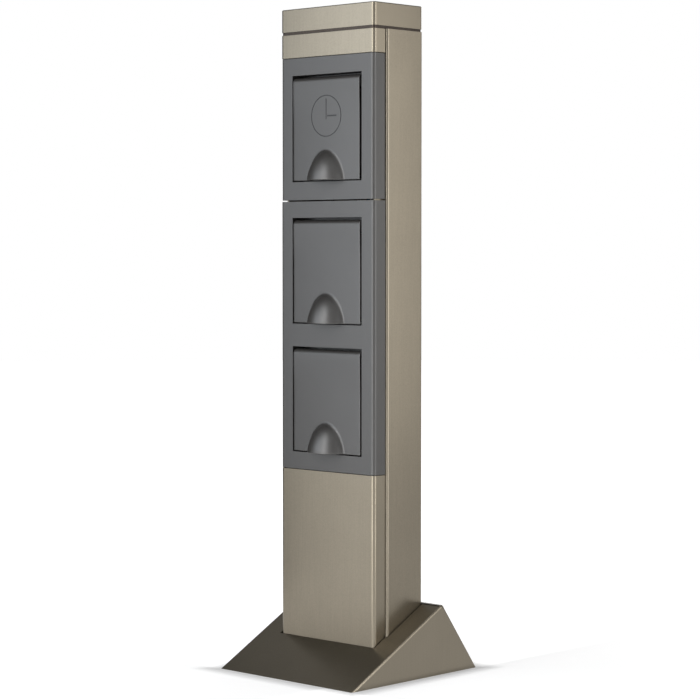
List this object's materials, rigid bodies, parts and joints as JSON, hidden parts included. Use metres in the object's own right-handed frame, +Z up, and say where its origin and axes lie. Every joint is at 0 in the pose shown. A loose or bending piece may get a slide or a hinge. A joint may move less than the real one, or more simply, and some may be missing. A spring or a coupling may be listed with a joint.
{
  "type": "garden socket post",
  "caption": "Slim free-standing post on a wedge foot, with a lidded timer over two lidded outdoor sockets and a flat cap.",
  "frame": {"origin": "on the floor under the middle of the foot", "axes": "+Z up along the post, -Y towards the lids and the front, +X to the right as seen in row axes"},
  "size_m": [0.16, 0.16, 0.5773],
  "materials": {
    "body_metal": "fine metallic powder coat, satin",
    "groove_metal": "dark bronze, satin",
    "housing_plastic": "fine moulded grain, satin",
    "insert_plastic": "smooth",
    "timer_plastic": "smooth",
    "dial_plastic": "smooth",
    "tappet_plastic": "smooth",
    "signal_plastic": "smooth",
    "seal_rubber": "matt",
    "zinc_steel": "zinc plated",
    "bright_steel": "stainless, bright",
    "tray_steel": "satin",
    "contact_brass": "bright",
    "grey_terminal": "moulded",
    "blue_terminal": "moulded",
    "green_terminal": "moulded",
    "brown_wire": "insulation",
    "blue_wire": "insulation",
    "green_wire": "insulation"
  },
  "bodies": {
    "post": {"rear_profile": "body_metal", "top_cap": "body_metal", "cap_collar": "groove_metal", "cap_screws": "zinc_steel", "upper_front_strip": "body_metal", "lower_front_panel": "body_metal", "timer_housing": "housing_plastic", "socket_housing": "housing_plastic", "timer_lid_pin": "bright_steel", "upper_lid_pin": "bright_steel", "lower_lid_pin": "bright_steel", "timer_lid_spring": "bright_steel", "upper_lid_spring": "bright_steel", "lower_lid_spring": "bright_steel", "lid_seals": "seal_rubber", "timer_body": "timer_plastic", "timer_bezel": "timer_plastic", "timer_pointer": "signal_plastic", "upper_socket_insert": "insert_plastic", "lower_socket_insert": "insert_plastic", "socket_contacts": "contact_brass", "earth_clips": "contact_brass", "insert_screws": "zinc_steel", "din_rail": "zinc_steel", "rail_screws": "zinc_steel", "live_terminal": "grey_terminal", "neutral_terminal": "blue_terminal", "earth_terminal": "green_terminal", "terminal_screws": "zinc_steel", "live_wires": "brown_wire", "neutral_wires": "blue_wire", "earth_wires": "green_wire", "foot_cover": "body_metal", "base_tray": "tray_steel", "post_bracket": "zinc_steel", "bracket_screws": "zinc_steel", "tray_bolts": "zinc_steel", "tray_nuts": "zinc_steel", "foot_screws": "zinc_steel", "gland_body": "insert_plastic", "gland_locknut": "insert_plastic", "gland_nut": "insert_plastic", "gland_seal": "seal_rubber"},
    "timer_lid": {"timer_lid": "housing_plastic"},
    "upper_lid": {"upper_socket_lid": "housing_plastic"},
    "lower_lid": {"lower_socket_lid": "housing_plastic"},
    "dial": {"timer_dial": "dial_plastic", "timer_tappets": "tappet_plastic"},
    "slider": {"override_slider": "signal_plastic"}
  },
  "joints": [
    {"name": "timer_lid_hinge", "type": "hinge", "parent": "post", "child": "timer_lid", "pos_m": [0, -0.0234, 0.51305], "axis": [-1, 0, 0], "range_deg": [0, 100], "stiffness_Nm_per_rad": 0.006, "springref_deg": -57.3, "deforming": ["timer_lid_spring"]},
    {"name": "upper_lid_hinge", "type": "hinge", "parent": "post", "child": "upper_lid", "pos_m": [0, -0.0234, 0.38935], "axis": [-1, 0, 0], "range_deg": [0, 100], "stiffness_Nm_per_rad": 0.006, "springref_deg": -57.3, "deforming": ["upper_lid_spring"]},
    {"name": "lower_lid_hinge", "type": "hinge", "parent": "post", "child": "lower_lid", "pos_m": [0, -0.0234, 0.27695], "axis": [-1, 0, 0], "range_deg": [0, 100], "stiffness_Nm_per_rad": 0.006, "springref_deg": -57.3, "deforming": ["lower_lid_spring"]},
    {"name": "dial_spin", "type": "hinge", "parent": "post", "child": "dial", "pos_m": [0, -0.0145, 0.46815], "axis": [0, 1, 0], "continuous": true},
    {"name": "override_slide", "type": "slide", "parent": "post", "child": "slider", "axis": [-1, 0, 0], "range_m": [0, 0.005]}
  ]
}
